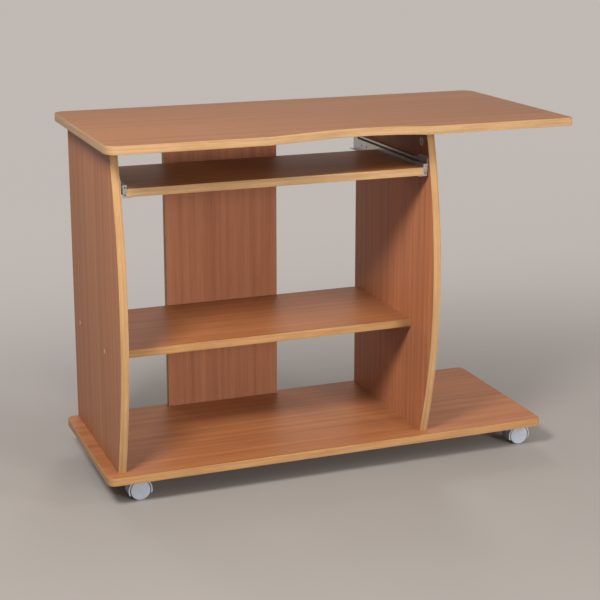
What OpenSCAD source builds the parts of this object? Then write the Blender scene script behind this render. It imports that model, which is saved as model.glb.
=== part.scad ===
// Computer table on castors: a one-sided desktop on two bowed side panels, with a back board,
// a fixed shelf and a keyboard tray on roller slides. Built of melamine-faced board.
// Millimetres. X runs to the right, Y to the back, Z up. The origin is on the floor,
// under the middle of the desktop.

/* [Boards] */
// Thickness of every board
board_t = 16; // [14:0.5:22]
// Thickness of the edge band glued round the boards
band_t = 1; // [0.5:0.1:2]
// Height of the side panels and the back board
panel_h = 642; // [560:1:700]
// Depth of a side panel at its top and bottom
panel_end_d = 350; // [330:1:372]
// Depth of a side panel half way up, where its front edge bows out
panel_mid_d = 400; // [376:1:420]

/* [Desktop] */
// Width of the desktop
desk_w = 950; // [860:1:1100]
// Depth of the desktop
desk_d = 460; // [440:1:520]
// How much shallower the desktop is along the wing on the right
wing_step = 10; // [4:1:20]
// Radius of the round recess in the front edge
recess_r = 330; // [290:1:400]
// How deep the recess cuts into the desktop
recess_deep = 36.5; // [25:0.5:45]
// Deepest point of the recess, from the desktop's left edge
recess_mid = 502; // [460:1:540]
// Slope of the straight flank on the left of the recess, in degrees
recess_slope = 13; // [11:0.5:18]
// Radius of the desktop's left corners and its back right corner
desk_corner_r = 25; // [8:1:40]
// Radius of the wing's front corner
wing_corner_r = 8; // [4:1:30]

/* [Base] */
// Depth of the base board
base_d = 375; // [374:1:420]
// How far the base stands in from the desktop's left edge; at the right they are flush
base_inset = 5; // [0:1:15]
// Radius of the base board's corners
base_corner_r = 15; // [4:1:22]

/* [Bay] */
// Distance from the desktop's left edge to the left side panel
panel_inset = 30; // [24:1:60]
// Clear width between the side panels
bay_w = 628; // [560:1:680]
// Width of the back board
back_w = 252; // [180:1:320]
// Clear gap between the left side panel and the back board
back_gap = 182; // [120:1:220]
// Depth of the fixed shelf
shelf_d = 282; // [230:1:310]
// Clear height under the fixed shelf
shelf_clear = 213; // [150:1:300]

/* [Keyboard tray] */
// Depth of the tray
tray_d = 230; // [200:1:270]
// Clear height between the tray and the desktop
tray_clear = 80; // [50:1:110]
// How far the tray's front stands behind the side panels' front edges
tray_setback = 6; // [3:0.5:8]

/* [Roller slides] */
// Length of the rails
rail_len = 350; // [300:5:350]
// Room that one slide takes between tray and side panel
slide_w = 12.5; // [12.5:0.1:14]
// Thickness of the rails' steel
rail_t = 1.2; // [0.8:0.1:1.3]
// Height of the moving rail, from the tray's underside
tray_rail_h = 23; // [20:0.5:25]
// Height of the fixed rail's top above the tray's underside
cabinet_rail_h = 31; // [28:0.5:32]
// Diameter of the rollers
roller_d = 16.4; // [14:0.1:17]
// Width of the rollers
roller_w = 5.2; // [4:0.1:5.2]
// Diameter of the pins that the rollers turn on
roller_pin_d = 4; // [3:0.1:5]
// Gap between a roller and the rail that runs on it
roller_gap = 0.3; // [0.3:0.05:0.5]
// Width of the ledge that carries the tray
ledge_w = 10; // [9:0.5:20]
// Play of the rear roller under the fixed rail's upper flange
roller_play = 1; // [0.5:0.1:1.5]
// Length of the raised ear at the front of the fixed rail
ear_len = 46; // [42:1:56]
// Height of that ear above the rail
ear_h = 6; // [4:0.5:10]

/* [Castors] */
// Height of a castor, from the floor to the base board
castor_h = 50; // [48:0.5:60]
// Diameter of the castor wheels
wheel_d = 40; // [34:0.5:41]
// Width of one wheel
wheel_w = 9; // [7:0.5:12]
// Distance of the axle behind the swivel pin
trail = 19; // [16:0.5:22]
// Thickness of the hood's rim
hood_t = 2.6; // [1.8:0.1:3]
// Gap between wheel and hood rim
hood_gap = 1.6; // [1:0.1:2.2]
// How far the hood reaches down below the axle
hood_drop = 8.5; // [4:0.5:10]
// Diameter of the wheels' axle
axle_d = 5; // [4:0.5:6]
// Diameter of the swivel pin
swivel_d = 7; // [5:0.5:7.5]
// Side of the square castor plate
plate_w = 40; // [36:1:46]
// Thickness of the castor plate
plate_t = 2; // [1.5:0.1:2.4]
// Distance of the swivel pins from the base's left and right edges
castor_x = 52; // [46:1:80]
// Distance of the swivel pins from the base's front and back edges
castor_y = 50; // [46:1:80]

/* [Fasteners] */
// Diameter of the wooden dowels
dowel_d = 8; // [6:1:8]
// Length of the wooden dowels
dowel_l = 30; // [25:1:40]
// Diameter of the cam locks
cam_d = 15; // [12:1:16]
// Distance from a board's end to the middle of its cam locks
cam_set = 34; // [24:1:40]
// Length of the long screws that join board to board
screw_l = 50; // [40:1:60]
// Diameter of their shank
screw_d = 7; // [6:0.5:7]
// Diameter of the small wood screws
wood_screw_d = 3.2; // [3:0.1:4]
// Length of the small wood screws in the wood
wood_screw_l = 11; // [8:1:12]
// Gap round a fastener in its hole
hole_gap = 0.1; // [0.05:0.01:0.2]
// Gap between a pin and what turns on it
turn_gap = 0.05; // [0.02:0.01:0.1]

/* [Hidden] */
$fn = 64;
big_fn = 360;
cut = 1;
x_left = -desk_w / 2;
x_right = desk_w / 2;
y_front = -desk_d / 2;
y_back = desk_d / 2;
z_base = castor_h;
z_base_top = z_base + board_t;
z_panel_top = z_base_top + panel_h;
x_panel_l = x_left + panel_inset;
x_bay_l = x_panel_l + board_t;
x_bay_r = x_bay_l + bay_w;
x_base_l = x_left + base_inset;
x_base_r = x_right;
x_back_l = x_bay_l + back_gap;
x_back_m = x_back_l + back_w / 2;
z_shelf = z_base_top + shelf_clear;
y_shelf_back = y_back - board_t;
y_shelf_front = y_shelf_back - shelf_d;
z_tray_top = z_panel_top - tray_clear;
z_tray = z_tray_top - board_t;

// The bowed front edge of a side panel is an arc through its top, its middle and its foot
bow = panel_mid_d - panel_end_d;
panel_r = (pow(panel_h / 2, 2) + pow(bow, 2)) / (2 * bow);
z_panel_mid = z_base_top + panel_h / 2;
y_panel_arc = y_back - panel_mid_d + panel_r;
function panel_front(z) = y_panel_arc - sqrt(pow(panel_r, 2) - pow(z - z_panel_mid, 2));
y_tray_front = panel_front(z_tray + board_t / 2) + tray_setback;
y_tray_back = y_tray_front + tray_d;

// Slide heights are counted from the tray's underside. The moving rail's flange runs on the
// front roller, and the rear roller runs in the fixed rail's channel, a little higher up.
rail_front_gap = 3;
y_rail_front = y_tray_front + rail_front_gap;
roller_r = roller_d / 2;
flange_z = tray_rail_h - rail_t;
front_roller_z = flange_z - roller_gap - roller_r;
rear_roller_z = cabinet_rail_h - rail_t - roller_play - roller_r;
track_z = rear_roller_z - roller_r - roller_gap;
track_low = track_z - rail_t;
web_mid_z = (track_low + cabinet_rail_h) / 2;
roller_in = 4.4;
lip_h = 2.5;
lip_t = rail_t - 0.2;
lip_gap = 0.4;
lip_x = roller_in + roller_w + lip_gap;
roller_end = 12;
front_roller_y = roller_end;
rear_roller_y = rail_len - roller_end;
channel_from = front_roller_y + roller_r + 2;
flange_to = rear_roller_y - roller_r - 3;
ear_low = front_roller_z - roller_r - 1;
ear_top = cabinet_rail_h + ear_h;
ear_hole_y = 16;
ear_hole_z = tray_rail_h + 3;
pin_head_t = 0.6;
pin_head_d = roller_pin_d + 3;
pin_gap = 0.2;
spare_hole_r = 2.2;
rail_screw_at = [34, rail_len / 2, rail_len - 30];
tray_screw_at = [40, tray_d - 40];
rail_web_x = slide_w - rail_t;
flange_x = roller_in - lip_gap - rail_t;
flange_gap = 0.6;
front_plate_x = roller_in;
front_plate_holes = [4.5, tray_rail_h - 4.5];
front_plate_hole_r = 1.4;
ear_corner = 4;

// Castor sizes are counted from the swivel pin at the base board's underside
wheel_r = wheel_d / 2;
axle_z = -castor_h + wheel_r;
boss_r = swivel_d / 2 + 2.2;
web_w = 9;
wheel_in = boss_r + 0.5;
wheel_out = wheel_in + wheel_w;
wheel_face_t = 2.4;
wheel_rim_t = 3;
wheel_hub_r = axle_d / 2 + 2.5;
wheel_cap_t = 1.4;
hood_in = wheel_r + hood_gap;
hood_out = hood_in + hood_t;
hood_w = 2 * wheel_out - 1.4;
boss_top = -plate_t - 1.3;
boss_low = axle_z + 3;
swivel_low = boss_low + 1.5;
hood_tilt = 3;
plate_screw = plate_w / 2 - 6;
castor_spots = [
    [x_base_l + castor_x, y_back - base_d + castor_y],
    [x_base_r - castor_x, y_back - base_d + castor_y],
    [x_base_l + castor_x, y_back - castor_y],
    [x_base_r - castor_x, y_back - castor_y]
];

// Fastener places: distances from the end or edge of the board that they hold
cam_deep = board_t - 3.5;
cam_rim_t = 0.5;
bolt_bore_r = 4;
bolt_head_z = -cam_set - 2;
screw_head_t = 3;
screw_shank = board_t - screw_head_t - 2;
screw_core_d = screw_d - 2;
cap_d = 12;
cap_t = 1.2;
dowel_in_face = board_t - 4;
panel_edge_far = 60;
panel_edge_near = 28;
plate_clear = 12;
y_cam_front = panel_front(z_panel_top - cam_set) + panel_edge_near;
y_cam_back = y_back - panel_edge_far;
y_foot_front = y_back - base_d + castor_y + plate_w / 2 + plate_clear;
y_foot_back = y_back - castor_y - plate_w / 2 - plate_clear;
dowel_step = 32;
shelf_screw_front = y_shelf_front + 30;
shelf_screw_back = y_shelf_back - 40;
back_screw = back_w / 2 - 40;
back_dowel = back_screw - dowel_step;
y_back_m = y_back - board_t / 2;
z_shelf_m = z_shelf + board_t / 2;
x_panels = [x_bay_l - board_t / 2, x_bay_r + board_t / 2];

beech = "#b08060";
beech_edge = "#d8a870";
steel = "#b9bbc0";
dark_steel = "#8c8c90";
grey_plastic = "#a5a8af";
white_plastic = "#e8e8e4";
pale_wood = "#d9bd8c";

// What a rounded corner of radius r removes from a board; the board lies towards +X and +Y
module corner_cut(r) {
    difference() {
        translate([-cut, -cut]) square(r + cut);
        translate([r, r]) circle(r);
    }
}

// The recess in the desktop's front edge, grown by i: a round bay that runs out on the left
// along a straight flank
module recess(i) {
    translate([x_left + recess_mid, y_front + recess_deep - recess_r]) {
        circle(recess_r + i, $fn = big_fn);
        rotate(recess_slope) translate([-2 * recess_r, 0]) square([2 * recess_r, recess_r + i]);
    }
}

// Outline of the desktop, drawn in by i on every edge
module desktop_outline(i) {
    y_wing = y_front + wing_step + i;
    r = desk_corner_r - i;
    difference() {
        translate([x_left + i, y_front + i]) square([desk_w - 2 * i, desk_d - 2 * i]);
        translate([x_left + recess_mid, y_front - cut]) square([desk_w, wing_step + cut + i]);
        recess(i);
        translate([x_left + i, y_front + i]) corner_cut(r);
        translate([x_left + i, y_back - i]) mirror([0, 1]) corner_cut(r);
        translate([x_right - i, y_back - i]) mirror([0, 1]) mirror([1, 0]) corner_cut(r);
        translate([x_right - i, y_wing]) mirror([1, 0]) corner_cut(max(wing_corner_r - i, 1));
    }
}

// Outline of the base board, drawn in by i on every edge
module base_outline(i) {
    r = base_corner_r - i;
    difference() {
        translate([x_base_l + i, y_back - base_d + i]) square([x_base_r - x_base_l - 2 * i, base_d - 2 * i]);
        for (sx = [0, 1], sy = [0, 1])
            translate([sx ? x_base_r - i : x_base_l + i, sy ? y_back - i : y_back - base_d + i])
                mirror([0, sy]) mirror([sx, 0]) corner_cut(r);
    }
}

// Side view of a side panel, Y across and Z up, drawn in by i at the front and the back
module panel_outline(i) {
    intersection() {
        translate([y_panel_arc - panel_r - cut, z_base_top])
            square([y_back - i - y_panel_arc + panel_r + cut, panel_h]);
        translate([y_panel_arc, z_panel_mid]) circle(panel_r - i, $fn = 2 * big_fn);
    }
}

// Stands a Y-Z outline up as a board that starts at x
module upright(x) {
    translate([x, 0, 0]) rotate([90, 0, 90]) linear_extrude(board_t) children();
}

// A board that lies flat with its underside at z, and the band round it
module flat_board(z) {
    translate([0, 0, z]) linear_extrude(board_t) children();
}

// A rectangle from one corner to the other
module plan(x0, x1, y0, y1) {
    translate([x0, y0]) square([x1 - x0, y1 - y0]);
}

// Holes and fasteners that stand on a board's end, pointing up from the origin
module cam_bolt() {
    rotate_extrude() polygon([
        [0, bolt_head_z], [2.6, bolt_head_z], [3.3, bolt_head_z + 0.7], [3.3, bolt_head_z + 3.3],
        [1.9, bolt_head_z + 4], [1.9, bolt_head_z + 8], [3, bolt_head_z + 9], [3, -2],
        [3.6, -2], [3.6, -0.3], [2.5, -0.3], [2.5, 9], [1.6, 10], [0, 10]
    ]);
}

module cam_bolt_hole_in_end() {
    translate([0, 0, -cam_set]) cylinder(r = bolt_bore_r, h = cam_set + cut);
}

module cam_bolt_hole_in_face() {
    translate([0, 0, -cut]) cylinder(r = 2.5 + hole_gap, h = 10.3 + cut);
}

module dowel() {
    rotate_extrude() polygon([
        [0, -dowel_l + dowel_in_face], [dowel_d / 2 - 1, -dowel_l + dowel_in_face],
        [dowel_d / 2, -dowel_l + dowel_in_face + 1], [dowel_d / 2, dowel_in_face - 1],
        [dowel_d / 2 - 1, dowel_in_face], [0, dowel_in_face]
    ]);
}

module dowel_hole() {
    translate([0, 0, -dowel_l + dowel_in_face - hole_gap])
        cylinder(r = dowel_d / 2 + hole_gap, h = dowel_l + 2 * hole_gap);
}

// A cam lock whose face is at the origin, sunk towards -Z, with its bolt coming from +Y
module cam_lock() {
    difference() {
        union() {
            translate([0, 0, -cam_deep]) cylinder(d = cam_d, h = cam_deep);
            cylinder(d = cam_d + 2, h = cam_rim_t);
        }
        translate([0, 0, -board_t / 2]) rotate([-90, 0, 0]) cylinder(r = bolt_bore_r, h = cam_d);
        translate([0, 0, -board_t / 2 - bolt_bore_r]) cylinder(r = bolt_bore_r, h = 2 * bolt_bore_r);
        for (a = [0, 90]) rotate(a + 20) translate([-4, -0.8, -1.6]) cube([8, 1.6, 3]);
    }
}

module cam_lock_hole() {
    translate([0, 0, -cam_deep - 0.3]) cylinder(d = cam_d + 2 * hole_gap, h = cam_deep + 0.3 + cut);
}

// A long board screw, its flat head flush with the origin and its point towards -Z
module board_screw() {
    difference() {
        rotate_extrude() polygon([
            [0, -screw_l], [screw_core_d / 2 - 1.5, -screw_l], [screw_core_d / 2, -screw_l + 3],
            [screw_core_d / 2, -screw_shank - screw_head_t], [screw_d / 2, -screw_shank - screw_head_t],
            [screw_d / 2, -screw_head_t], [screw_d / 2 + 1.5, -0.4], [screw_d / 2 + 1.5, 0], [0, 0]
        ]);
        translate([0, 0, -2.4]) cylinder(r = 2.3, h = 3, $fn = 6);
    }
}

module board_screw_hole() {
    translate([0, 0, -screw_l - 0.3]) cylinder(d = screw_core_d + 2 * hole_gap, h = screw_l);
    translate([0, 0, -board_t - 0.1]) cylinder(d = screw_d + 2 * hole_gap, h = board_t + cut);
    translate([0, 0, -screw_head_t])
        cylinder(r1 = screw_d / 2 + hole_gap, r2 = screw_d / 2 + 1.5 + hole_gap, h = screw_head_t - 0.4);
    translate([0, 0, -0.41]) cylinder(r = screw_d / 2 + 1.5 + hole_gap, h = cut + 0.41);
}

module screw_cap() {
    rotate_extrude() polygon([
        [0, -1.8], [1.7, -1.8], [1.7, 0], [cap_d / 2, 0], [cap_d / 2, cap_t * 0.4],
        [cap_d / 2 - 0.7, cap_t * 0.85], [cap_d / 2 - 2, cap_t], [0, cap_t]
    ]);
}

// A wood screw with its head standing on the origin and its shank towards -Z
module wood_screw(head_t, through) {
    rotate_extrude() polygon([
        [0, -wood_screw_l - through], [0.4, -wood_screw_l - through],
        [wood_screw_d / 2, -wood_screw_l - through + 2], [wood_screw_d / 2, 0],
        [3.4, 0], [3.4, head_t * 0.4], [2.2, head_t], [0, head_t]
    ]);
}

module wood_screw_hole(through) {
    translate([0, 0, -wood_screw_l - through - 0.2])
        cylinder(d = wood_screw_d + 2 * hole_gap, h = wood_screw_l + through + 0.2 + cut);
}

// Where the fasteners go. Each spot turns its child so that +Z points out of the joint.
module at_cams() {
    for (x = x_panels, y = [y_cam_front, y_cam_back]) translate([x, y, z_panel_top]) children();
    for (s = [-1, 1]) translate([x_back_m + s * back_screw, y_back_m, z_panel_top]) children();
}

module at_cam_locks() {
    for (y = [y_cam_front, y_cam_back]) {
        translate([x_bay_l, y, z_panel_top - cam_set]) rotate([90, 0, 90]) children();
        translate([x_bay_r, y, z_panel_top - cam_set]) rotate([90, 0, -90]) children();
    }
    for (s = [-1, 1])
        translate([x_back_m + s * back_screw, y_back, z_panel_top - cam_set])
            rotate([90, 0, 180]) children();
}

module at_top_dowels() {
    for (x = x_panels, y = [y_cam_front + dowel_step, y_cam_back - dowel_step])
        translate([x, y, z_panel_top]) children();
    for (s = [-1, 1]) translate([x_back_m + s * back_dowel, y_back_m, z_panel_top]) children();
}

module at_bottom_dowels() {
    for (x = x_panels, y = [y_foot_front + dowel_step, y_foot_back - dowel_step])
        translate([x, y, z_base_top]) mirror([0, 0, 1]) children();
    for (s = [-1, 1])
        translate([x_back_m + s * back_dowel, y_back_m, z_base_top]) mirror([0, 0, 1]) children();
}

module at_foot_screws() {
    for (x = x_panels, y = [y_foot_front, y_foot_back])
        translate([x, y, z_base]) rotate([180, 0, 0]) children();
    for (s = [-1, 1])
        translate([x_back_m + s * back_screw, y_back_m, z_base]) rotate([180, 0, 0]) children();
}

module at_left_shelf_screws() {
    for (y = [shelf_screw_front, shelf_screw_back])
        translate([x_panel_l, y, z_shelf_m]) rotate([0, -90, 0]) children();
}

module at_right_shelf_screws() {
    for (y = [shelf_screw_front, shelf_screw_back])
        translate([x_bay_r + board_t, y, z_shelf_m]) rotate([0, 90, 0]) children();
}

module at_back_shelf_screws() {
    for (s = [-1, 1])
        translate([x_back_m + s * back_screw, y_back, z_shelf_m]) rotate([-90, 0, 0]) children();
}

module at_castors() {
    for (p = castor_spots) translate([p[0], p[1], z_base]) children();
}

module at_plate_screws() {
    for (sx = [-1, 1], sy = [-1, 1])
        translate([sx * plate_screw, sy * plate_screw, -plate_t]) rotate([180, 0, 0]) children();
}

// Every hole that the board-to-board fasteners need
module joint_holes() {
    at_cams() cam_bolt_hole_in_end();
    at_cams() cam_bolt_hole_in_face();
    at_cam_locks() cam_lock_hole();
    at_top_dowels() dowel_hole();
    at_bottom_dowels() dowel_hole();
    at_foot_screws() board_screw_hole();
    at_left_shelf_screws() board_screw_hole();
    at_right_shelf_screws() board_screw_hole();
    at_back_shelf_screws() board_screw_hole();
}

// The boards
module desktop() {
    color(beech) difference() {
        flat_board(z_panel_top) desktop_outline(band_t);
        at_cams() cam_bolt_hole_in_face();
        at_top_dowels() dowel_hole();
    }
}

module desktop_edge_band() {
    color(beech_edge) flat_board(z_panel_top) difference() {
        desktop_outline(0);
        desktop_outline(band_t);
    }
}

module base_board() {
    color(beech) difference() {
        flat_board(z_base) base_outline(band_t);
        at_bottom_dowels() dowel_hole();
        at_foot_screws() board_screw_hole();
        at_castors() at_plate_screws() wood_screw_hole(plate_t);
    }
}

module base_edge_band() {
    color(beech_edge) flat_board(z_base) difference() {
        base_outline(0);
        base_outline(band_t);
    }
}

module side_panel(x, side) {
    color(beech) difference() {
        upright(x) panel_outline(band_t);
        at_cams() cam_bolt_hole_in_end();
        at_cam_locks() cam_lock_hole();
        at_top_dowels() dowel_hole();
        at_bottom_dowels() dowel_hole();
        at_foot_screws() board_screw_hole();
        if (side > 0) at_right_shelf_screws() board_screw_hole();
        if (side < 0) at_left_shelf_screws() board_screw_hole();
        slide_side(side) at_rail_screws() wood_screw_hole(rail_t);
    }
}

module side_panel_edge_band(x) {
    color(beech_edge) upright(x) difference() {
        panel_outline(0);
        panel_outline(band_t);
    }
}

module back_panel() {
    color(beech) difference() {
        translate([x_back_l + band_t, y_back - board_t, z_base_top])
            cube([back_w - 2 * band_t, board_t, panel_h]);
        at_cams() cam_bolt_hole_in_end();
        at_cam_locks() cam_lock_hole();
        at_top_dowels() dowel_hole();
        at_bottom_dowels() dowel_hole();
        at_foot_screws() board_screw_hole();
        at_back_shelf_screws() board_screw_hole();
    }
}

module back_panel_edge_band() {
    color(beech_edge)
        for (x = [x_back_l, x_back_l + back_w - band_t])
            translate([x, y_back - board_t, z_base_top]) cube([band_t, board_t, panel_h]);
}

module middle_shelf() {
    color(beech) difference() {
        flat_board(z_shelf) plan(x_bay_l, x_bay_r, y_shelf_front + band_t, y_shelf_back - band_t);
        at_left_shelf_screws() board_screw_hole();
        at_right_shelf_screws() board_screw_hole();
        at_back_shelf_screws() board_screw_hole();
    }
}

module middle_shelf_edge_band() {
    color(beech_edge) difference() {
        flat_board(z_shelf) union() {
            plan(x_bay_l, x_bay_r, y_shelf_front, y_shelf_front + band_t);
            plan(x_bay_l, x_bay_r, y_shelf_back - band_t, y_shelf_back);
        }
        at_back_shelf_screws() board_screw_hole();
    }
}

module keyboard_tray() {
    color(beech) difference() {
        flat_board(z_tray)
            plan(x_bay_l + slide_w, x_bay_r - slide_w, y_tray_front + band_t, y_tray_back - band_t);
        for (side = [-1, 1]) slide_side(side) at_tray_screws() wood_screw_hole(rail_t);
    }
}

module keyboard_tray_edge_band() {
    color(beech_edge) flat_board(z_tray) {
        plan(x_bay_l + slide_w, x_bay_r - slide_w, y_tray_front, y_tray_front + band_t);
        plan(x_bay_l + slide_w, x_bay_r - slide_w, y_tray_back - band_t, y_tray_back);
    }
}

// A slide is drawn with X counted from the side panel's inner face towards the tray,
// Y from the front of the rails and Z from the tray's underside. Side -1 is left, 1 right.
module slide_side(side) {
    translate([side > 0 ? x_bay_r : x_bay_l, y_rail_front, z_tray])
        mirror([side > 0 ? 1 : 0, 0, 0]) children();
}

// Bends an X-Z profile into a rail from y = from to y = to
module rail(from, to) {
    translate([0, to, 0]) rotate([90, 0, 0]) linear_extrude(to - from) children();
}

module at_rail_screws() {
    for (y = rail_screw_at) translate([rail_t, y, web_mid_z]) rotate([0, 90, 0]) children();
}

module at_tray_screws() {
    for (y = tray_screw_at)
        translate([slide_w + ledge_w / 2, y - rail_front_gap, -rail_t]) rotate([180, 0, 0]) children();
}

// Turns what stands on +Z so that it points from the panel to the tray, on a roller's axis
module front_roller_spot() {
    translate([0, front_roller_y, front_roller_z]) rotate([0, 90, 0]) children();
}

module rear_roller_spot() {
    translate([0, rear_roller_y, rear_roller_z]) rotate([0, 90, 0]) children();
}

// Fixed rail: a channel with lips, open to the tray. Its web widens at the front into the plate
// that holds the front roller's pin and rises into an ear with a spare hole. The plate's front
// edge and the ear's top are bent over, which stiffens them.
module cabinet_rail(side) {
    color(dark_steel) slide_side(side) difference() {
        union() {
            rail(ear_len - 10, rail_len)
                translate([0, track_low]) square([rail_t, cabinet_rail_h - track_low]);
            rail(channel_from, rail_len) {
                translate([0, track_low]) square([lip_x + lip_t, rail_t]);
                translate([lip_x, track_low]) square([lip_t, rail_t + lip_h]);
            }
            rail(ear_len, rail_len) {
                translate([0, cabinet_rail_h - rail_t]) square([lip_x + lip_t, rail_t]);
                translate([lip_x, cabinet_rail_h - rail_t - lip_h]) square([lip_t, rail_t + lip_h]);
            }
            rotate([90, 0, 90]) linear_extrude(rail_t) polygon([
                [0, ear_low + 2], [2, ear_low], [channel_from, ear_low], [channel_from + 4, track_low],
                [ear_len, track_low], [ear_len, cabinet_rail_h], [ear_len - 8, ear_top],
                [ear_corner, ear_top], [0, ear_top - ear_corner]
            ]);
            rail(ear_corner + 1, ear_len - 9)
                translate([0, ear_top - rail_t]) square([flange_x - flange_gap, rail_t]);
            translate([0, 0, ear_low + 2])
                cube([flange_x - flange_gap, rail_t, ear_top - ear_corner - ear_low - 2]);
            translate([0, rail_len - rail_t, track_low])
                cube([roller_in, rail_t, cabinet_rail_h - track_low]);
        }
        at_rail_screws() translate([0, 0, -rail_t - cut])
            cylinder(d = wood_screw_d + 0.6, h = rail_t + 2 * cut);
        front_roller_spot() translate([0, 0, -cut])
            cylinder(d = roller_pin_d + 2 * hole_gap, h = rail_t + 2 * cut);
        translate([-cut, ear_hole_y, ear_hole_z]) rotate([0, 90, 0])
            cylinder(r = spare_hole_r, h = rail_t + 2 * cut);
    }
}

// Moving rail: a web beside the tray, a ledge under it, a flange that runs on the front roller,
// a plate that closes the front and a tab that holds the rear roller's pin
module tray_rail(side) {
    tab_top = rear_roller_z + roller_pin_d / 2 + 3;
    color(steel) slide_side(side) difference() {
        union() {
            rail(-rail_front_gap, rail_len) {
                translate([rail_web_x, -rail_t]) square([rail_t, tray_rail_h + rail_t]);
                translate([rail_web_x, -rail_t]) square([rail_t + ledge_w, rail_t]);
            }
            rail(-rail_front_gap, flange_to) {
                translate([flange_x, flange_z]) square([slide_w - flange_x, rail_t]);
                translate([flange_x, flange_z - lip_h]) square([rail_t, lip_h + rail_t]);
            }
            translate([front_plate_x, -rail_front_gap, -rail_t])
                cube([slide_w - front_plate_x, rail_t, tray_rail_h + rail_t]);
            rail(flange_to, rail_len) translate([rail_web_x, 0]) square([rail_t, tab_top]);
        }
        for (z = front_plate_holes)
            translate([(front_plate_x + slide_w) / 2, -rail_front_gap - cut, z]) rotate([-90, 0, 0])
                cylinder(r = front_plate_hole_r, h = rail_t + 2 * cut);
        at_tray_screws() translate([0, 0, -rail_t - cut])
            cylinder(d = wood_screw_d + 0.6, h = rail_t + 2 * cut);
        rear_roller_spot() translate([0, 0, rail_web_x - cut])
            cylinder(d = roller_pin_d + 2 * hole_gap, h = rail_t + 2 * cut);
        for (y = [rail_len - 70, rail_len - 45])
            translate([rail_web_x - cut, y, tray_rail_h / 2]) rotate([0, 90, 0])
                cylinder(r = spare_hole_r, h = rail_t + 2 * cut);
    }
}

// A roller with a rounded tread and a dished face, bored for its pin
module roller() {
    bore_r = roller_pin_d / 2 + turn_gap;
    translate([0, 0, roller_in]) rotate_extrude() polygon([
        [bore_r, 0], [roller_r - 0.8, 0], [roller_r, 0.8],
        [roller_r, roller_w - 0.8], [roller_r - 0.8, roller_w],
        [roller_r - 2, roller_w], [roller_r - 2.4, roller_w - 0.6],
        [bore_r + 1.8, roller_w - 0.6], [bore_r + 1.4, roller_w], [bore_r, roller_w]
    ]);
}

module front_roller(side) {
    color(white_plastic) slide_side(side) front_roller_spot() roller();
}

module rear_roller(side) {
    color(white_plastic) slide_side(side) rear_roller_spot() roller();
}

module front_roller_pins() {
    head_x = roller_in + roller_w + pin_gap;
    color(steel) for (side = [-1, 1]) slide_side(side) front_roller_spot() {
        cylinder(d = roller_pin_d, h = head_x + pin_head_t);
        translate([0, 0, rail_t]) cylinder(d = pin_head_d, h = roller_in - rail_t - pin_gap);
        translate([0, 0, head_x]) cylinder(d = pin_head_d, h = pin_head_t);
    }
}

module rear_roller_pins() {
    head_x = roller_in - pin_gap - pin_head_t;
    shoulder_x = roller_in + roller_w + pin_gap;
    color(steel) for (side = [-1, 1]) slide_side(side) rear_roller_spot() {
        translate([0, 0, head_x]) cylinder(d = roller_pin_d, h = slide_w - head_x);
        translate([0, 0, head_x]) cylinder(d = pin_head_d, h = pin_head_t);
        translate([0, 0, shoulder_x]) cylinder(d = pin_head_d, h = rail_web_x - shoulder_x);
    }
}

module cabinet_rail_screws() {
    color(steel) for (side = [-1, 1]) slide_side(side) at_rail_screws() wood_screw(1, rail_t);
}

module tray_rail_screws() {
    color(steel) for (side = [-1, 1]) slide_side(side) at_tray_screws() wood_screw(1.6, rail_t);
}

// The fasteners
module cam_locks() {
    color(steel) at_cam_locks() cam_lock();
}

module cam_bolts() {
    color(steel) at_cams() cam_bolt();
}

module dowels() {
    color(pale_wood) {
        at_top_dowels() dowel();
        at_bottom_dowels() dowel();
    }
}

module board_screws() {
    color(steel) {
        at_foot_screws() board_screw();
        at_left_shelf_screws() board_screw();
        at_right_shelf_screws() board_screw();
        at_back_shelf_screws() board_screw();
    }
}

module screw_caps() {
    color(beech) {
        at_left_shelf_screws() screw_cap();
        at_right_shelf_screws() screw_cap();
    }
}

// The castors: a screwed plate, a swivel pin, a hood, and two wheels on one axle
module castor_plates() {
    r = 4;
    color(steel) at_castors() translate([0, 0, -plate_t]) difference() {
        linear_extrude(plate_t) difference() {
            square(plate_w, center = true);
            for (a = [0 : 90 : 270]) rotate(a) translate([-plate_w / 2, -plate_w / 2]) corner_cut(r);
        }
        for (sx = [-1, 1], sy = [-1, 1])
            translate([sx * plate_screw, sy * plate_screw, -cut])
                cylinder(d = wood_screw_d + 0.6, h = plate_t + 2 * cut);
        translate([0, 0, -cut]) cylinder(d = swivel_d - 2 + 2 * hole_gap, h = plate_t + 2 * cut);
    }
}

module castor_screws() {
    color(steel) at_castors() at_plate_screws() wood_screw(1.6, plate_t);
}

module castor_swivel_pins() {
    color(steel) at_castors() rotate_extrude() polygon([
        [0, 0], [swivel_d / 2 - 1, 0], [swivel_d / 2 - 1, -plate_t], [swivel_d / 2, -plate_t],
        [swivel_d / 2, swivel_low + 1], [swivel_d / 2 - 1, swivel_low], [0, swivel_low]
    ]);
}

// What turns in the vertical plane of the wheels: X across and Z up become the sketch's X and Y
module wheel_plane(from, to) {
    translate([trail, -from, axle_z]) rotate([90, 0, 0]) linear_extrude(to - from) children();
}

// The part of the sketch that the hood covers, down to a line below the axle
module hood_cover() {
    rotate(hood_tilt) translate([-2 * hood_out, -hood_drop]) square([4 * hood_out, 3 * hood_out]);
}

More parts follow.
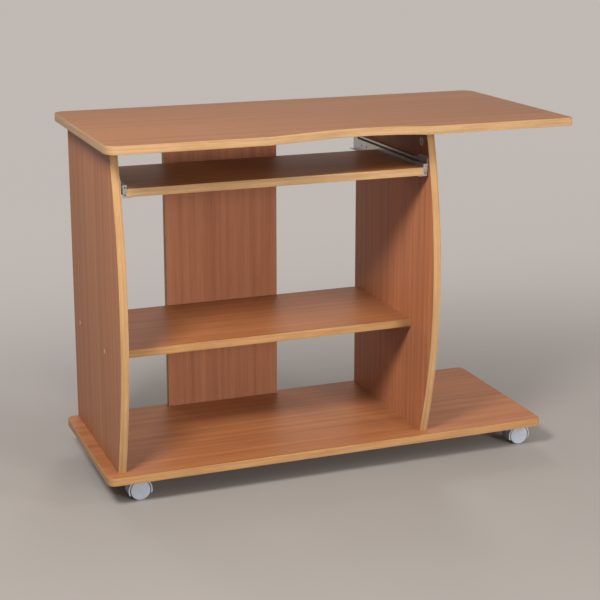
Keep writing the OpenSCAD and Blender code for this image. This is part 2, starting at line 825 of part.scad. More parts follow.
module castor_hood(i) {
    color(grey_plastic) at_castor(i) difference() {
        union() {
            wheel_plane(-hood_w / 2, hood_w / 2) difference() {
                intersection() {
                    circle(hood_out);
                    hood_cover();
                }
                circle(hood_in);
            }
            wheel_plane(-web_w / 2, web_w / 2) {
                intersection() {
                    circle(hood_in + hood_t / 2);
                    hood_cover();
                }
                circle(axle_d / 2 + 3.5);
            }
            translate([0, 0, boss_low]) cylinder(r = boss_r, h = boss_top - boss_low);
        }
        translate([0, 0, swivel_low - 0.3])
            cylinder(d = swivel_d + 2 * turn_gap, h = boss_top - swivel_low + cut);
        wheel_plane(-web_w, web_w) circle(axle_d / 2 + hole_gap);
    }
}

module castor_axle(i) {
    reach = wheel_out - wheel_cap_t - 0.2;
    color(steel) at_castor(i) wheel_plane(-reach, reach) circle(d = axle_d);
}

// One wheel of a pair, on the side that s points to: -1 front, 1 back. A closed face outside,
// and a hub, six ribs and a rim inside.
module castor_wheel(i, s) {
    bore_r = axle_d / 2 + turn_gap;
    face_z = wheel_out - wheel_face_t;
    rim_r = wheel_r - wheel_rim_t;
    color(grey_plastic) at_castor(i) translate([trail, 0, axle_z]) rotate([-90 * s, 0, 0]) {
        rotate_extrude() polygon([
            [bore_r, wheel_in], [wheel_hub_r, wheel_in], [wheel_hub_r, face_z], [rim_r, face_z],
            [rim_r, wheel_in], [wheel_r - 1, wheel_in], [wheel_r, wheel_in + 1],
            [wheel_r, wheel_out - 1.2], [wheel_r - 0.5, wheel_out - 0.5],
            [wheel_r - 1.6, wheel_out - 0.2], [wheel_r - 6, wheel_out], [0, wheel_out],
            [0, wheel_out - wheel_cap_t], [bore_r, wheel_out - wheel_cap_t]
        ]);
        for (a = [0 : 60 : 300]) rotate(a) translate([wheel_hub_r - 0.5, -0.7, wheel_in + 1])
            cube([rim_r - wheel_hub_r + 1, 1.4, face_z - wheel_in - 0.5]);
    }
}

module at_castor(i) {
    translate([castor_spots[i][0], castor_spots[i][1], z_base]) children();
}

desktop();
desktop_edge_band();
base_board();
base_edge_band();
side_panel(x_panel_l, -1);  // side_panel_left
side_panel_edge_band(x_panel_l);  // side_panel_left_edge_band
side_panel(x_bay_r, 1);  // side_panel_right
side_panel_edge_band(x_bay_r);  // side_panel_right_edge_band
back_panel();
back_panel_edge_band();
middle_shelf();
middle_shelf_edge_band();
keyboard_tray();
keyboard_tray_edge_band();
cabinet_rail(-1);  // cabinet_rail_left
cabinet_rail(1);  // cabinet_rail_right
tray_rail(-1);  // tray_rail_left
tray_rail(1);  // tray_rail_right
front_roller(-1);  // front_roller_left
front_roller(1);  // front_roller_right
rear_roller(-1);  // rear_roller_left
rear_roller(1);  // rear_roller_right
front_roller_pins();
rear_roller_pins();
cabinet_rail_screws();
tray_rail_screws();
cam_locks();
cam_bolts();
dowels();
board_screws();
screw_caps();
castor_plates();
castor_screws();
castor_swivel_pins();
castor_hood(0);  // castor_front_left_hood
castor_axle(0);  // castor_front_left_axle
castor_wheel(0, -1);  // castor_front_left_wheel_front
castor_wheel(0, 1);  // castor_front_left_wheel_back
castor_hood(1);  // castor_front_right_hood
castor_axle(1);  // castor_front_right_axle
castor_wheel(1, -1);  // castor_front_right_wheel_front
castor_wheel(1, 1);  // castor_front_right_wheel_back
castor_hood(2);  // castor_back_left_hood
castor_axle(2);  // castor_back_left_axle
castor_wheel(2, -1);  // castor_back_left_wheel_front
castor_wheel(2, 1);  // castor_back_left_wheel_back
castor_hood(3);  // castor_back_right_hood
castor_axle(3);  // castor_back_right_axle
castor_wheel(3, -1);  // castor_back_right_wheel_front
castor_wheel(3, 1);  // castor_back_right_wheel_back
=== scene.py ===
"""Computer table of beech-effect board on castors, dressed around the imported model.

The table stands on the floor with the middle of its desktop over the origin. X runs to the right,
Y to the back and Z up, in metres.
"""

import bmesh
import bpy
import numpy as np
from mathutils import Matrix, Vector


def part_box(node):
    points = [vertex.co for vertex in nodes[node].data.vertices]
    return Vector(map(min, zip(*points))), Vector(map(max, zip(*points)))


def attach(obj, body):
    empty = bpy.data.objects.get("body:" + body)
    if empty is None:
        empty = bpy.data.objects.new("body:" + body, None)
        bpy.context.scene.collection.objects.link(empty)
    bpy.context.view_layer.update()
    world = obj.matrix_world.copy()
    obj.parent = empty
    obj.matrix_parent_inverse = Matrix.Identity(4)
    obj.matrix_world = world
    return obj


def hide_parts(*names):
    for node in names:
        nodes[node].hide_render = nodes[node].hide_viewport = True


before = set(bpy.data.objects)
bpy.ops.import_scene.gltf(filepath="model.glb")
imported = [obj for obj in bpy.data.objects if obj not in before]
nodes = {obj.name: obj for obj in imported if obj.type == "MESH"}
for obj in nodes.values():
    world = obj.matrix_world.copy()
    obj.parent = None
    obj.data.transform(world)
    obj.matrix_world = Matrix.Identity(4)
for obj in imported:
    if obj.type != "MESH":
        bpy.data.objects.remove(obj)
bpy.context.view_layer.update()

# The photograph's point of view: left of the table and above it, through a long lens whose frame
# is set down a little, so that the upright boards stay nearly parallel.
eye = bpy.data.cameras.new("photograph_eye")
eye.sensor_width = 36
eye.lens = 87.69
eye.shift_y = -0.08
eye.clip_end = 100
eye_stand = bpy.data.objects.new("photograph_eye", eye)
eye_stand.location = (-1.0657, -2.7137, 1.1552)
eye_stand.rotation_euler = np.radians((90 - 13.774, 0, -21.027))
bpy.context.scene.collection.objects.link(eye_stand)
bpy.context.scene.camera = eye_stand
bpy.context.scene.view_settings.view_transform = "Standard"


# Every board is 16 mm chipboard with a melamine face printed as steamed beech: a pinkish brown
# with soft long streaks, fine fibres and the short dark flecks of beech, under a satin pearl
# surface. The grain runs along X on boards that lie and along Z on boards that stand.
def add(tree, kind, settings, sockets):
    """Adds one shader node. A socket takes a plain value, or the output that feeds it."""
    made = tree.nodes.new("ShaderNode" + kind)
    for name, value in settings.items():
        setattr(made, name, value)
    for key, value in sockets.items():
        if isinstance(value, bpy.types.NodeSocket):
            tree.links.new(value, made.inputs[key])
        else:
            made.inputs[key].default_value = value
    return made.outputs


def new_finish(name):
    """An empty material: its node tree and the inputs of its shader."""
    finish = bpy.data.materials.new(name)
    finish.use_nodes = True
    return finish, finish.node_tree, finish.node_tree.nodes["Principled BSDF"].inputs


def feed(tree, output, socket):
    tree.links.new(output, socket)


def stretched_noise(tree, place, scale, detail, distortion=0.0):
    """Noise whose grain is one over the scale along each axis, in metres."""
    laid = add(tree, "Mapping", {"vector_type": "POINT"}, {"Vector": place, "Scale": scale})["Vector"]
    sockets = {"Vector": laid, "Scale": 1.0, "Detail": detail, "Distortion": distortion}
    return add(tree, "TexNoise", {}, sockets)["Fac"]


def tint(tree, value, stops):
    """Turns a value from 0 to 1 into a colour by way of a ramp of (place, colour) stops."""
    ramp = tree.nodes.new("ShaderNodeValToRGB")
    while len(ramp.color_ramp.elements) < len(stops):
        ramp.color_ramp.elements.new(0.5)
    for mark, (at, colour) in zip(ramp.color_ramp.elements, stops):
        mark.position = at
        mark.color = (*colour, 1)
    tree.links.new(value, ramp.inputs["Fac"])
    return ramp.outputs["Color"]


def blend_colours(tree, how, share, first, second):
    settings = {"data_type": "RGBA", "blend_type": how}
    return add(tree, "Mix", settings, {0: share, 6: first, 7: second})[2]


def spread(tree, value, low, high):
    """Stretches a value in 0 to 1 so that it runs from low to high."""
    return add(tree, "MapRange", {}, {"Value": value, "To Min": low, "To Max": high})["Result"]


def beech_board(name, grain_axis, rough, depth):
    """The print's colours are multiplied by the depth, which paints in light and shade: each board
    gets its own tone. Each layer of grain is noise with so many waves to the metre along the grain
    and across it."""
    finish, tree, shader = new_finish(name)
    place = add(tree, "TexCoord", {}, {})["Object"]

    def grain(along, across, detail, distortion=0.0):
        scale = [across, across, across]
        scale[grain_axis] = along
        return stretched_noise(tree, place, scale, detail, distortion)

    cloud = grain(0.7, 9, 3, 0.15)
    streak = grain(0.9, 75, 5, 0.08)
    fibre = grain(11, 520, 3)
    fleck = grain(230, 1900, 1)
    pearl = grain(1500, 1500, 2)
    warm = tint(tree, streak, [
        (0.30, (0.308, 0.112, 0.047)), (0.50, (0.366, 0.141, 0.060)), (0.70, (0.424, 0.171, 0.075)),
    ])
    shaded = tint(tree, cloud, [(0.3, (0.90, 0.89, 0.88)), (0.7, (1.08, 1.10, 1.11))])
    colour = blend_colours(tree, "MULTIPLY", 1.0, warm, shaded)
    lines = tint(tree, fibre, [(0.30, (0.88, 0.85, 0.83)), (0.55, (1, 1, 1)), (0.75, (1.06, 1.06, 1.05))])
    colour = blend_colours(tree, "MULTIPLY", 1.0, colour, lines)
    pores = tint(tree, fleck, [(0.66, (0, 0, 0)), (0.72, (1, 1, 1))])
    colour = blend_colours(tree, "MULTIPLY", pores, colour, (0.72, 0.66, 0.62, 1))
    colour = blend_colours(tree, "MULTIPLY", 1.0, colour, (*depth, 1))
    feed(tree, colour, shader["Base Color"])
    feed(tree, spread(tree, cloud, rough - 0.06, rough + 0.06), shader["Roughness"])
    surface = add(tree, "Math", {"operation": "ADD"}, {0: fibre, 1: pearl})["Value"]
    dents = add(tree, "Bump", {}, {"Strength": 0.06, "Distance": 0.0004, "Height": surface})
    feed(tree, dents["Normal"], shader["Normal"])
    return finish


def cover(finish, *names):
    """Gives CAD nodes their finish."""
    for name in names:
        for place in nodes[name].material_slots:
            place.material = finish


grain_x = 0
grain_z = 2
standing_rough = 0.54
# All boards share one print, but each copy is toned with painted light and shade: the desktop and the
# other lying boards are darkened, the right panel is lighter than the left, and the back board is bluer.
desktop_beech = beech_board("beech_board_desktop", grain_x, 0.40, (0.73, 0.70, 0.52))
lying_beech = beech_board("beech_board_lying", grain_x, 0.42, (0.84, 0.81, 0.71))
left_beech = beech_board("beech_board_left_panel", grain_z, standing_rough, (0.87, 0.88, 0.91))
right_beech = beech_board("beech_board_right_panel", grain_z, standing_rough, (1.00, 0.95, 0.97))
back_beech = beech_board("beech_board_back", grain_z, standing_rough, (0.89, 0.94, 1.17))
cover(desktop_beech, "desktop")
cover(lying_beech, "base_board", "middle_shelf", "keyboard_tray")
cover(left_beech, "side_panel_left")
cover(right_beech, "side_panel_right")
cover(back_beech, "back_panel")


# Round every board runs a 1 mm plastic band, printed in a lighter honey beech and milled round at
# both rims. It is carried along the board's outline, glued flush with its faces.
band_deep = 0.001
band_rim = 0.0007


def honey_band(name, depth):
    """Streaks run along the band, so they read its own map: U along it and V across, in metres. The
    print's colours are multiplied by the depth, a tone of painted light and shade for the board it runs
    round."""
    finish, tree, shader = new_finish(name)
    along = add(tree, "UVMap", {}, {})["UV"]
    streak = stretched_noise(tree, along, (5, 260, 1), 4, 0.3)
    fibre = stretched_noise(tree, along, (40, 1700, 1), 2)
    patch = stretched_noise(tree, along, (14, 30, 1), 2)
    colour = tint(tree, streak, [
        (0.30, (0.290, 0.150, 0.058)), (0.50, (0.345, 0.195, 0.080)), (0.72, (0.392, 0.236, 0.104)),
    ])
    lines = tint(tree, fibre, [(0.32, (0.87, 0.84, 0.80)), (0.55, (1, 1, 1))])
    colour = blend_colours(tree, "MULTIPLY", 1.0, colour, lines)
    shade = tint(tree, patch, [(0.3, (0.93, 0.92, 0.90)), (0.7, (1.04, 1.04, 1.04))])
    colour = blend_colours(tree, "MULTIPLY", 1.0, colour, shade)
    feed(tree, blend_colours(tree, "MULTIPLY", 1.0, colour, (*depth, 1)), shader["Base Color"])
    feed(tree, spread(tree, patch, 0.36, 0.5), shader["Roughness"])
    dents = add(tree, "Bump", {}, {"Strength": 0.08, "Distance": 0.0003, "Height": fibre})
    feed(tree, dents["Normal"], shader["Normal"])
    return finish


def band_section(width, steps=5):
    """The band's cross-section as depth behind its face and place across it: a rectangle whose two
    outer corners are quarter circles, at angles evenly spaced from 0 to 90 degrees."""
    turn = np.linspace(0, np.pi / 2, steps)
    depth = band_rim * (1 - np.sin(turn))
    side = width / 2 - band_rim * (1 - np.cos(turn))
    depth = np.concatenate([[band_deep], depth, depth[::-1], [band_deep]])
    side = np.concatenate([[width / 2], side, -side[::-1], [-width / 2]])
    return depth, side


def skin(points, u, v, u_closed=False, v_closed=True):
    """Quads over a grid of points, with a flat cap at both ends of a tube. U and V are the lengths
    along its two ways; on a closed way they have one more value, where it meets its start."""
    n, m = points.shape[:2]
    i, j = np.meshgrid(np.arange(n - 1 + u_closed), np.arange(m - 1 + v_closed), indexing="ij")
    i = i.ravel()[:, None] + [0, 1, 1, 0]
    j = j.ravel()[:, None] + [0, 0, 1, 1]
    faces = ((i % n) * m + j % m).tolist()
    marks = np.stack([u[i], v[j]], 2).reshape(-1, 2)
    if v_closed and not u_closed:
        ends = np.arange(m)
        faces += [ends.tolist(), (ends + (n - 1) * m).tolist()]
        marks = np.concatenate([marks, np.stack([u[0] + 0 * v[:m], v[:m]], 1),
                                np.stack([u[n - 1] + 0 * v[:m], v[:m]], 1)])
    return points.reshape(-1, 3), faces, marks


def new_piece(name, skins, finish, sharp=35):
    """One mesh of several skins, with its doubles merged and its faces turned outwards."""
    points, faces, marks, count = [], [], [], 0
    for some_points, some_faces, some_marks in skins:
        points.append(some_points)
        faces += [[k + count for k in face] for face in some_faces]
        marks.append(some_marks)
        count += len(some_points)
    mesh = bpy.data.meshes.new(name)
    mesh.from_pydata(np.concatenate(points).tolist(), [], faces)
    mesh.uv_layers.new(name="UVMap").data.foreach_set("uv", np.concatenate(marks).ravel())
    shell = bmesh.new()
    shell.from_mesh(mesh)
    bmesh.ops.remove_doubles(shell, verts=shell.verts, dist=1e-7)
    bmesh.ops.recalc_face_normals(shell, faces=shell.faces)
    shell.to_mesh(mesh)
    shell.free()
    mesh.shade_smooth()
    mesh.set_sharp_from_angle(angle=np.radians(sharp))
    mesh.materials.append(finish)
    made = bpy.data.objects.new(name, mesh)
    bpy.context.scene.collection.objects.link(made)
    return made


def mitres(path):
    """For each point of a closed flat path, run anticlockwise, the way out of the board: the sum of
    the normals on both sides of the point, over one plus the cosine of the angle between them."""
    step = np.roll(path, -1, 0) - path
    normal = np.stack([step[:, 1], -step[:, 0]], 1) / np.linalg.norm(step, axis=1)[:, None]
    before = np.roll(normal, 1, 0)
    return (before + normal) / (1 + (before * normal).sum(1))[:, None]


def round_band(path, low, high):
    """The band round a lying board: each ring is the section, moved back from the path along its
    mitre by the depth, and up from the board's middle by the place across."""
    depth, side = band_section(high - low)
    flat = path[:, None] - mitres(path)[:, None] * depth[None, :, None]
    height = np.broadcast_to((low + high) / 2 + side, flat.shape[:2])
    run = np.linalg.norm(np.roll(path, -1, 0) - path, axis=1)
    along = np.concatenate([[0], np.cumsum(run)])
    return skin(np.dstack([flat, height]), along, np.append(side, side[0]), u_closed=True)


def straight_band(start, end, out, across):
    """A band from start to end whose face looks along out, with its width across."""
    start, end, out, across = map(np.array, (start, end, out, across))
    depth, side = band_section(np.linalg.norm(across))
    rim = side[:, None] * across / np.linalg.norm(across) - depth[:, None] * out
    length = np.linalg.norm(end - start)
    return skin(np.stack([start + rim, end + rim]), np.array([0, length]), np.append(side, side[0]))


def arc(x, y, radius, first, last, steps=10):
    """Points of a circle from one angle to another, in degrees."""
    turn = np.radians(np.linspace(first, last, steps))
    return np.stack([x + radius * np.cos(turn), y + radius * np.sin(turn)], 1)


# The same band in three tones of painted light and shade: lighter on the desktop and the tray, darker on
# the base and the shelf, and between them on the side panels and the back board.
painted_light_edge = honey_band("honey_edge_band_painted_light", (1.03, 1.08, 1.27))
panel_edge = honey_band("honey_edge_band_panel", (1.04, 1.06, 1.13))
painted_shade_edge = honey_band("honey_edge_band_painted_shade", (0.97, 0.90, 0.87))
base_corner = 0.015
low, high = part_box("base_edge_band")
outline = np.concatenate([
    arc(low.x + base_corner, low.y + base_corner, base_corner, 180, 270),
    arc(high.x - base_corner, low.y + base_corner, base_corner, 270, 360),
    arc(high.x - base_corner, high.y - base_corner, base_corner, 0, 90),
    arc(low.x + base_corner, high.y - base_corner, base_corner, 90, 180),
])
base_band = new_piece("base_band", [round_band(outline, low.z, high.z)], painted_shade_edge)
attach(base_band, "table")
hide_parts("base_edge_band")


# The desktop's band follows its whole outline: round corners on the left and at the back, a
# straight flank into the round recess for the sitter, then the shallower wing on the right.
desktop_corner = 0.025
wing_corner = 0.008
wing_step = 0.010
recess_radius = 0.330
recess_deep = 0.0365
recess_from_left = 0.502
recess_steps = 48
flank_slope = 13
low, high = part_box("desktop_edge_band")
recess_x = low.x + recess_from_left
recess_y = low.y + recess_deep - recess_radius
wing_y = low.y + wing_step
flank_end = arc(recess_x, recess_y, recess_radius, 90 + flank_slope, 90, 2)[0]
flank_run = (flank_end[1] - low.y) / np.tan(np.radians(flank_slope))
wing_angle = np.degrees(np.arcsin((wing_y - recess_y) / recess_radius))
outline = np.concatenate([
    arc(low.x + desktop_corner, low.y + desktop_corner, desktop_corner, 180, 270),
    [[flank_end[0] - flank_run, low.y]],
    arc(recess_x, recess_y, recess_radius, 90 + flank_slope, wing_angle, recess_steps),
    arc(high.x - wing_corner, wing_y + wing_corner, wing_corner, 270, 360),
    arc(high.x - desktop_corner, high.y - desktop_corner, desktop_corner, 0, 90),
    arc(low.x + desktop_corner, high.y - desktop_corner, desktop_corner, 90, 180),
])
desktop_band = new_piece("desktop_band", [round_band(outline, low.z, high.z)], painted_light_edge)
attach(desktop_band, "table")
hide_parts("desktop_edge_band")


# A side panel is banded along its back edge, which is straight, and along its front edge, which
# bows out by 50 mm. The back board's two upright edges are banded too.
bow = 0.050
bow_steps = 72


def bowed_band(low, high):
    """The band of a bowed front edge: at each height each point of the section lies on a circle round
    the bow's centre, whose radius is the bow's less the point's depth."""
    half = (high.z - low.z) / 2
    bow_radius = (half**2 + bow**2) / (2 * bow)
    depth, across = band_section(high.x - low.x)
    height = np.linspace(-half, half, bow_steps)
    reach = np.sqrt((bow_radius - depth[None, :]) ** 2 - height[:, None] ** 2)
    rings = np.empty((*reach.shape, 3))
    rings[..., 0] = (low.x + high.x) / 2 + across
    rings[..., 1] = low.y + bow_radius - reach
    rings[..., 2] = low.z + half + height[:, None]
    return skin(rings, bow_radius * np.arcsin(height / bow_radius), np.append(across, across[0]))


for side in ("left", "right"):
    name = f"side_panel_{side}_edge_band"
    low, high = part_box(name)
    middle = (low.x + high.x) / 2
    width = (high.x - low.x, 0, 0)
    panel_band = new_piece(f"panel_band_{side}", [
        bowed_band(low, high),
        straight_band((middle, high.y, low.z), (middle, high.y, high.z), (0, 1, 0), width),
    ], panel_edge)
    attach(panel_band, "table")
    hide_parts(name)

low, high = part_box("back_panel_edge_band")
middle = (low.y + high.y) / 2
width = (0, high.y - low.y, 0)
back_band = new_piece("back_board_band", [
    straight_band((low.x, middle, low.z), (low.x, middle, high.z), (-1, 0, 0), width),
    straight_band((high.x, middle, low.z), (high.x, middle, high.z), (1, 0, 0), width),
], panel_edge)
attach(back_band, "table")
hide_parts("back_panel_edge_band")


# The fixed shelf and the keyboard tray are banded along their front and back edges only; their
# ends butt on the side panels and on the slides.
for name, node, body, edge in (
    ("shelf_band", "middle_shelf_edge_band", "table", painted_shade_edge),
    ("tray_band", "keyboard_tray_edge_band", "tray", painted_light_edge),
):
    low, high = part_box(node)
    middle = (low.z + high.z) / 2
    width = (0, 0, high.z - low.z)
    bands = new_piece(name, [
        straight_band((low.x, low.y, middle), (high.x, low.y, middle), (0, -1, 0), width),
        straight_band((low.x, high.y, middle), (high.x, high.y, middle), (0, 1, 0), width),
    ], edge)
    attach(bands, body)
    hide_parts(node)


# The two roller slides are folded from zinc-plated steel strip: a soft grey sheen with the faint
# cloudy spangle of the plating and fine rolling lines along the rail.
def plated_steel(name, colour, rough, spangle):
    finish, tree, shader = new_finish(name)
    place = add(tree, "TexCoord", {}, {})["Object"]
    cloud = stretched_noise(tree, place, (spangle, spangle, spangle), 3, 0.6)
    rolled = stretched_noise(tree, place, (900, 14, 900), 2)
    dark = [0.78 * part for part in colour]
    light = [min(1.0, 1.12 * part) for part in colour]
    shade = tint(tree, cloud, [(0.32, dark), (0.5, colour), (0.7, light)])
    lines = tint(tree, rolled, [(0.3, (0.9, 0.9, 0.9)), (0.6, (1, 1, 1))])
    feed(tree, blend_colours(tree, "MULTIPLY", 1.0, shade, lines), shader["Base Color"])
    shader["Metallic"].default_value = 0.88
    feed(tree, spread(tree, cloud, rough - 0.07, rough + 0.1), shader["Roughness"])
    dents = add(tree, "Bump", {}, {"Strength": 0.12, "Distance": 0.0002, "Height": rolled})
    feed(tree, dents["Normal"], shader["Normal"])
    return finish


rail_steel = plated_steel("zinc_plated_rail", (0.58, 0.55, 0.52), 0.36, 140)
cover(rail_steel, "cabinet_rail_left", "cabinet_rail_right", "tray_rail_left", "tray_rail_right")


# The slides' four rollers are turned from white acetal, waxy and a little greyed by use. Each runs
# on a steel pin through its rail.
def moulded_plastic(name, colour, rough, dirt, grain):
    finish, tree, shader = new_finish(name)
    place = add(tree, "TexCoord", {}, {})["Object"]
    cloud = stretched_noise(tree, place, (90, 90, 90), 3)
    speck = stretched_noise(tree, place, (grain, grain, grain), 2)
    worn = [part * dirt for part in colour]
    shade = tint(tree, cloud, [(0.3, worn), (0.6, colour)])
    fine = tint(tree, speck, [(0.35, (0.95, 0.95, 0.95)), (0.6, (1, 1, 1))])
    feed(tree, blend_colours(tree, "MULTIPLY", 1.0, shade, fine), shader["Base Color"])
    feed(tree, spread(tree, speck, rough - 0.05, rough + 0.07), shader["Roughness"])
    dents = add(tree, "Bump", {}, {"Strength": 0.1, "Distance": 0.0002, "Height": speck})
    feed(tree, dents["Normal"], shader["Normal"])
    return finish


acetal = moulded_plastic("white_acetal_roller", (0.80, 0.80, 0.77), 0.34, 0.86, 1600)
cover(acetal, "front_roller_left", "front_roller_right", "rear_roller_left", "rear_roller_right")


# Pins, axles, castor plates, cam bolts and the long board screws are bright zinc-plated steel. The
# cam locks are die-cast, a duller grey, and pull the desktop onto the boards that stand under it.
bright_steel = plated_steel("zinc_plated_fastener", (0.66, 0.66, 0.66), 0.30, 500)
cast_zinc = plated_steel("cast_zinc_cam", (0.46, 0.46, 0.47), 0.46, 700)
cover(bright_steel, "front_roller_pins", "rear_roller_pins", "cam_bolts", "board_screws", "castor_plates",
      "castor_swivel_pins", "castor_front_left_axle", "castor_front_right_axle", "castor_back_left_axle",
      "castor_back_right_axle")
cover(cast_zinc, "cam_locks")


# The wood screws of the slides and the castors have a threaded shank and a pan head with a cross
# recess. Each stands where its plain solid stands, with the same length and the same head, and its
# thread runs a little way into the head.
head_radius = 0.0034
head_top_radius = 0.0022
thread_radius = 0.0016
thread_core = 0.0012
thread_pitch = 0.0015
cross_reach = 0.0017
cross_half_width = 0.00045
cross_taper = 0.7
cross_floor = 0.3
head_side = 0.4
head_overlap = 0.15
head_steps = 32
point_radius = 0.0001
point_slope = 0.7
thread_steps = 16
tray_low, tray_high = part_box("keyboard_tray")
tray_middle = (tray_low.x + tray_high.x) / 2


def screw_boxes(name, reach=0.018):
    """The lowest and the highest corner of each screw of a node. A screw is all that lies within
    reach of one of its points, which is more than its length and less than the way to the next."""
    points = np.array([point.co for point in nodes[name].data.vertices])
    boxes = []
    while len(points):
        near = np.linalg.norm(points - points[0], axis=1) < reach
        boxes.append((points[near].min(0), points[near].max(0)))
        points = points[~near]
    return boxes


def turned(radius, height, foot, along, across):
    """A skin of rings: ring i has the radius radius[i, j] at the angle j / count of a turn, and
    stands height[i] from the foot. Its map is 10 mm round."""
    count = radius.shape[1]
    turn = 2 * np.pi * np.arange(count) / count
    spoke = np.cos(turn)[:, None] * across + np.sin(turn)[:, None] * np.cross(along, across)
    rings = foot + radius[..., None] * spoke + height[:, None, None] * along
    return skin(rings, height, np.linspace(0, 0.01, count + 1))


def thread_skin(length, foot, along, across):
    """A turn lifts the thread by its pitch: the radius is the core's, and the height of the tooth at
    height / pitch - angle / 360. A cone cuts it off at the point."""
    turn = np.arange(thread_steps) / thread_steps
    height = np.append(np.arange(0, length, thread_pitch / 4), length)
    tooth = 1 - np.abs(2 * ((height[:, None] / thread_pitch - turn) % 1) - 1)
    radius = thread_core + (thread_radius - thread_core) * tooth
    radius = np.minimum(radius, point_radius + point_slope * height[:, None])
    return turned(radius, height, foot, along, across)


def head_skin(thick, foot, along, across):
    """Round rings up to the head's top, then the outline of the cross there and on its floor: in
    each direction the nearer of an arm's end and its side."""
    turn = 2 * np.pi * (np.arange(head_steps) + 0.5) / head_steps
    arms = np.sort(np.abs([np.cos(turn), np.sin(turn)]), axis=0)
    cross = np.minimum(cross_reach / arms[1], cross_half_width / arms[0])
    rings = [(thread_core, 0), (head_radius, 0), (head_radius, head_side), (head_top_radius, 1)]
    radius = [np.full(head_steps, size) for size, _ in rings] + [cross, cross_taper * cross]
    height = thick * np.array([level for _, level in rings] + [1, cross_floor])
    return turned(np.array(radius), height, foot, along, across)


for name, node, axis, head, body in (
    ("cabinet_rail_cross_screws", "cabinet_rail_screws", 0, 0.0010, "table"),
    ("tray_rail_cross_screws", "tray_rail_screws", 2, 0.0016, "tray"),
    ("castor_cross_screws", "castor_screws", 2, 0.0016, "table"),
):
    skins = []
    for lowest, highest in screw_boxes(node):
        middle = (lowest + highest) / 2
        along = np.zeros(3)
        along[axis] = 1 if axis == 0 and middle[0] < tray_middle else -1
        across = np.roll(along, 1)
        half = (highest - lowest)[axis] / 2
        length = 2 * half - (1 - head_overlap) * head
        skins.append(thread_skin(length, middle - half * along, along, across))
        skins.append(head_skin(head, middle + (half - head) * along, along, across))
    screws = new_piece(name, skins, bright_steel)
    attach(screws, body)
    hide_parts(node)


# The dowels are raw beech, paler than the boards. They keep the joints in line, and are hidden in
# them.
def raw_wood():
    finish, tree, shader = new_finish("raw_beech_dowel")
    place = add(tree, "TexCoord", {}, {})["Object"]
    fibre = stretched_noise(tree, place, (900, 900, 30), 3)
    colour = tint(tree, fibre, [(0.3, (0.52, 0.35, 0.18)), (0.7, (0.70, 0.52, 0.31))])
    feed(tree, colour, shader["Base Color"])
    feed(tree, spread(tree, fibre, 0.6, 0.8), shader["Roughness"])
    return finish


cover(raw_wood(), "dowels")


# Small moulded caps, a shade paler than the board, cover the heads of the shelf screws on the outer
# faces of the side panels.
cap_plastic = moulded_plastic("beech_coloured_cap", (0.42, 0.18, 0.085), 0.42, 0.9, 1200)
cover(cap_plastic, "screw_caps")


# Each castor is moulded in grey plastic with a fine matt grain: a hood and two wheels on one axle,
# under a steel plate that four screws hold to the base.
castor_plastic = moulded_plastic("grey_castor_plastic", (0.37, 0.39, 0.43), 0.44, 0.9, 1300)
for spot in ("front_left", "front_right", "back_left", "back_right"):
    for part in ("hood", "wheel_front", "wheel_back"):
        cover(castor_plastic, f"castor_{spot}_{part}")


# A plain warm grey floor under the table. Away from the table it answers less and less to the
# lamps and shows itself to the eye and in reflections instead, so that it ends in an even pale
# background. It sends no light to the table for that, and keeps the table's shadow.
background = (0.525, 0.482, 0.452, 1)
fade_middle = 1.3
floor_half = 25


def reckon(tree, how, first, second):
    """One sum of two values, or of the outputs that feed it."""
    return add(tree, "Math", {"operation": how}, {0: first, 1: second})["Value"]


def seen_directly(tree):
    """1 for rays from the eye and for those that metal or glass sends on, 0 for all others."""
    ray = add(tree, "LightPath", {}, {})
    mirrored = reckon(tree, "MAXIMUM", ray["Is Glossy Ray"], ray["Is Transmission Ray"])
    return reckon(tree, "MAXIMUM", ray["Is Camera Ray"], mirrored)


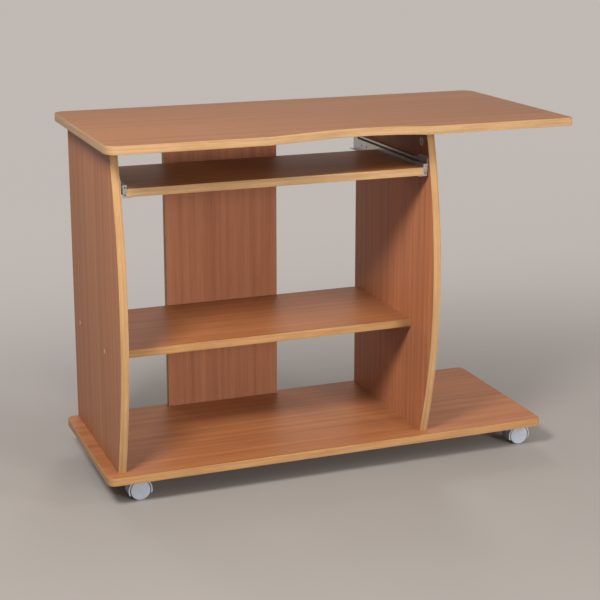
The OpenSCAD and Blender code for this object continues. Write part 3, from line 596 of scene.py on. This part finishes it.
def pale_floor():
    """The share is d^4 / (d^4 + fade_middle^4), where d is the distance from a point 0.35 m in front
    of the table's middle, with X counted at three quarters."""
    finish, tree, shader = new_finish("pale_floor")
    place = add(tree, "TexCoord", {}, {})["Object"]
    laid = {"Vector": place, "Location": (0, 0.35, 0), "Scale": (0.75, 1, 1)}
    flat = add(tree, "Mapping", {"vector_type": "POINT"}, laid)["Vector"]
    square = add(tree, "VectorMath", {"operation": "DOT_PRODUCT"}, {0: flat, 1: flat})["Value"]
    fourth = reckon(tree, "MULTIPLY", square, square)
    share = reckon(tree, "DIVIDE", fourth, reckon(tree, "ADD", fourth, fade_middle**4))
    shader["Roughness"].default_value = 0.7
    gloss = reckon(tree, "SUBTRACT", 0.5, reckon(tree, "MULTIPLY", share, 0.5))
    feed(tree, gloss, shader["Specular IOR Level"])
    cloud = stretched_noise(tree, place, (1.5, 1.5, 1.5), 3)
    grey = tint(tree, cloud, [(0.3, (0.270, 0.243, 0.220)), (0.7, (0.288, 0.259, 0.235))])
    feed(tree, blend_colours(tree, "MIX", share, grey, (0, 0, 0, 1)), shader["Base Color"])
    feed(tree, reckon(tree, "MULTIPLY", share, seen_directly(tree)), shader["Emission Strength"])
    shader["Emission Color"].default_value = background
    return finish


floor_mesh = bpy.data.meshes.new("floor")
corners = floor_half * np.array([(-1, -1, 0), (1, -1, 0), (1, 1, 0), (-1, 1, 0)])
floor_mesh.from_pydata(corners.tolist(), [], [(0, 1, 2, 3)])
floor_mesh.materials.append(pale_floor())
floor = bpy.data.objects.new("floor", floor_mesh)
bpy.context.scene.collection.objects.link(floor)


# Soft studio light: two lamps in line at the left, which throw the slanting shadows onto the right
# panel, one high in front, and wide fills all round. Each row ends with whether gloss mirrors it.
table_middle = Vector((0, 0, 0.35))
for name, place, size, watts, glares in (
    ("key_lamp", (-1.25, -1.16, 1.81), 0.54, 51, False),
    ("far_key_lamp", (-2.3, -2.34, 3.17), 1.0, 19, True),
    ("high_lamp", (-0.6, -1.8, 2.6), 0.6, 8, True),
    ("front_fill", (1.3, -3.8, 1.15), 1.3, 136, False),
    ("right_fill", (2.2, -1.9, 1.6), 1.0, 34, False),
    ("back_right_fill", (0.8, 2.6, 1.8), 1.0, 33, False),
    ("back_left_fill", (-1.0, 2.8, 1.2), 1.0, 22, False),
):
    lamp = bpy.data.lights.new(name, "AREA")
    lamp.shape = "DISK"
    lamp.size = size
    lamp.energy = watts
    lamp_stand = bpy.data.objects.new(name, lamp)
    lamp_stand.location = place
    lamp_stand.rotation_euler = (table_middle - lamp_stand.location).to_track_quat("-Z", "Y").to_euler()
    lamp_stand.visible_camera = False
    lamp_stand.visible_glossy = glares
    bpy.context.scene.collection.objects.link(lamp_stand)

surround = bpy.data.worlds.new("pale_surround")
surround.use_nodes = True
tree = surround.node_tree
sky = blend_colours(tree, "MIX", seen_directly(tree), (0.15, 0.15, 0.15, 1), background)
feed(tree, sky, tree.nodes["Background"].inputs["Color"])
bpy.context.scene.world = surround
